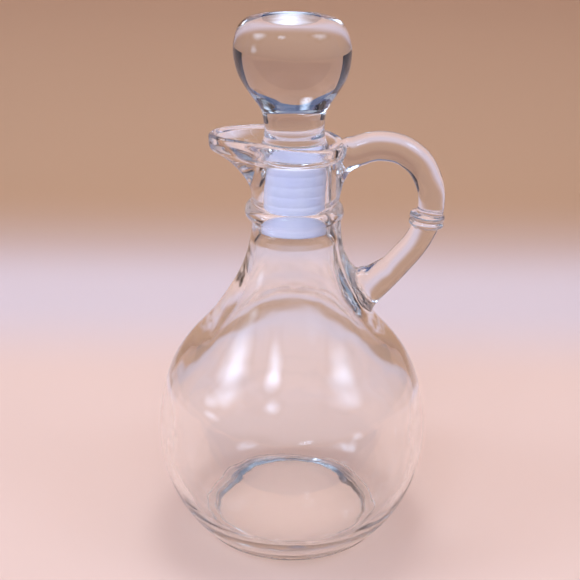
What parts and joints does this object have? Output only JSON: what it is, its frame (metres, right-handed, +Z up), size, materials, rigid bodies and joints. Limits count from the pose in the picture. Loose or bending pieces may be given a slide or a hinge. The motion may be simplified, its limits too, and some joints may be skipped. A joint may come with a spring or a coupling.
{
  "type": "glass cruet with stopper",
  "caption": "Clear glass cruet with a pear-shaped body, collared neck, pouring spout, looped side handle and a glass ball stopper seated in a ribbed plastic sleeve.",
  "frame": {"origin": "the middle of the overall box's base, on the plane the foot ring stands on; the vessel's turning axis stands 1.4 mm from it, towards the spout", "axes": "+Z up along the vessel's axis, spout towards -X, handle towards +X"},
  "size_m": [0.0864, 0.0836, 0.16],
  "materials": {
    "vessel_glass": "smooth clear pressed glass",
    "stopper_glass": "smooth clear pressed glass",
    "sleeve_plastic": "milky translucent, finely ribbed"
  },
  "bodies": {
    "root": {"cruet": "vessel_glass", "stopper": "stopper_glass", "sleeve": "sleeve_plastic"}
  },
  "joints": []
}
